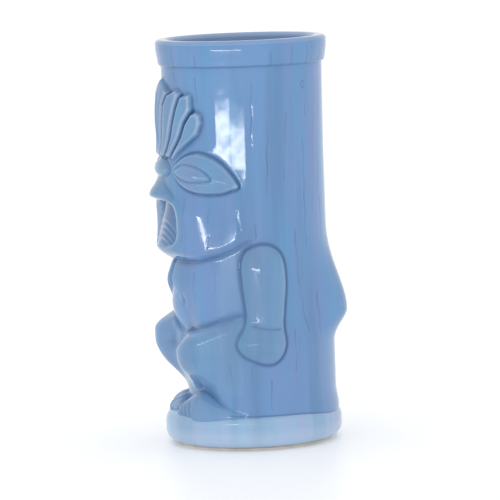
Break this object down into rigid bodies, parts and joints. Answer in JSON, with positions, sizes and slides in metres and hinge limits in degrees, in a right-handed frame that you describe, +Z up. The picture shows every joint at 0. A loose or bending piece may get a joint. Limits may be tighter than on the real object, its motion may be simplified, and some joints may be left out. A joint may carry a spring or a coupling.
{
  "type": "tiki mug",
  "caption": "Tall glazed ceramic tiki mug: hollow carved-trunk tumbler with a squatting figure, fanned leaf crest, almond eyes, open mouth, folded arms and a round foot.",
  "frame": {"origin": "middle of the foot ring's underside, where the mug's axis meets the table", "axes": "+Z up along the mug's axis, -Y the way the face looks, +X towards the figure's left arm"},
  "size_m": [0.0802, 0.0828, 0.1715],
  "materials": {
    "glaze_trunk": "glossy translucent blue glaze with fine vertical incised grain",
    "glaze_relief": "glossy translucent blue glaze, thin and paler on the raised edges",
    "glaze_deep": "glossy translucent blue glaze pooled dark in the grooves",
    "glaze_foot": "glossy translucent blue glaze on the smooth round foot",
    "bare_clay": "bare matt fired clay of the foot ring"
  },
  "bodies": {
    "root": {"foot_ring": "bare_clay", "plinth": "glaze_foot", "trunk_shell": "glaze_trunk", "rim_band": "glaze_trunk", "leaf_centre": "glaze_relief", "leaf_left_inner": "glaze_relief", "leaf_left_middle": "glaze_relief", "leaf_left_outer": "glaze_relief", "leaf_right_inner": "glaze_relief", "leaf_right_middle": "glaze_relief", "leaf_right_outer": "glaze_relief", "brow_bead": "glaze_relief", "nose": "glaze_relief", "eye_left": "glaze_relief", "pupil_left": "glaze_relief", "eye_right": "glaze_relief", "pupil_right": "glaze_relief", "cheek_left": "glaze_trunk", "cheek_right": "glaze_trunk", "mouth_rim": "glaze_relief", "lower_lip": "glaze_relief", "tongue": "glaze_deep", "chest_left": "glaze_trunk", "chest_right": "glaze_trunk", "belly": "glaze_trunk", "arm_left": "glaze_relief", "fist_left": "glaze_relief", "leg_left": "glaze_relief", "foot_left": "glaze_relief", "arm_right": "glaze_relief", "fist_right": "glaze_relief", "leg_right": "glaze_relief", "foot_right": "glaze_relief"}
  },
  "joints": []
}
